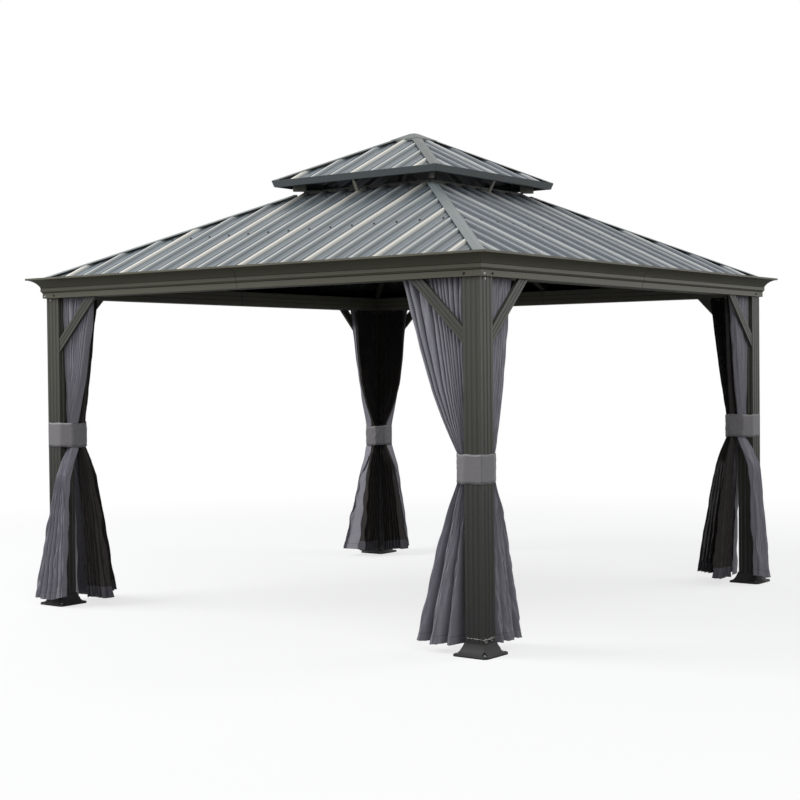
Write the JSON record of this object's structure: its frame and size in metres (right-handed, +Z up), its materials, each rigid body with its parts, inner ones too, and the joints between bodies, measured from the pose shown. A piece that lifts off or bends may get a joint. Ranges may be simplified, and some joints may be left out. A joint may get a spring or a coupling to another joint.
{
  "type": "gazebo",
  "caption": "Square metal gazebo with fluted posts, a moulded cornice, a two-tier ribbed hip roof with a vent, and curtains and netting gathered at the posts",
  "frame": {"origin": "on the ground under the middle of the roof", "axes": "+Z up, the front faces -Y, +X to the right seen from the front"},
  "size_m": [3.65, 3.65, 3.1187],
  "materials": {
    "frame_paint": "dark grey powder coat, slightly satin",
    "roof_sheet": "grey coated steel sheet, satin",
    "curtain_cloth": "grey woven polyester",
    "netting": "black fine mesh with grey bands",
    "fixings": "zinc plated screws, bolts and hooks"
  },
  "bodies": {
    "root": {"post_front_right": "frame_paint", "post_back_right": "frame_paint", "post_back_left": "frame_paint", "post_front_left": "frame_paint", "foot_front_right": "frame_paint", "foot_back_right": "frame_paint", "foot_back_left": "frame_paint", "foot_front_left": "frame_paint", "corner_cover_front_right": "frame_paint", "corner_cover_back_right": "frame_paint", "corner_cover_back_left": "frame_paint", "corner_cover_front_left": "frame_paint", "braces_front_right": "frame_paint", "braces_back_right": "frame_paint", "braces_back_left": "frame_paint", "braces_front_left": "frame_paint", "curtain_front_right": "curtain_cloth", "curtain_back_right": "curtain_cloth", "curtain_back_left": "curtain_cloth", "curtain_front_left": "curtain_cloth", "net_front_right": "netting", "net_back_right": "netting", "net_back_left": "netting", "net_front_left": "netting", "tie_back_front_right": "curtain_cloth", "tie_back_back_right": "curtain_cloth", "tie_back_back_left": "curtain_cloth", "tie_back_front_left": "curtain_cloth", "beam_front": "frame_paint", "beam_right": "frame_paint", "beam_back": "frame_paint", "beam_left": "frame_paint", "lower_roof_front": "roof_sheet", "lower_roof_right": "roof_sheet", "lower_roof_back": "roof_sheet", "lower_roof_left": "roof_sheet", "upper_roof_front": "roof_sheet", "upper_roof_right": "roof_sheet", "upper_roof_back": "roof_sheet", "upper_roof_left": "roof_sheet", "lower_hip_caps": "roof_sheet", "hip_rafters": "frame_paint", "side_rafters": "frame_paint", "purlins": "frame_paint", "vent_ring": "frame_paint", "vent_struts": "frame_paint", "upper_eave_trim": "frame_paint", "upper_rafters": "frame_paint", "upper_hip_caps": "roof_sheet", "top_cap": "roof_sheet"}
  },
  "joints": []
}
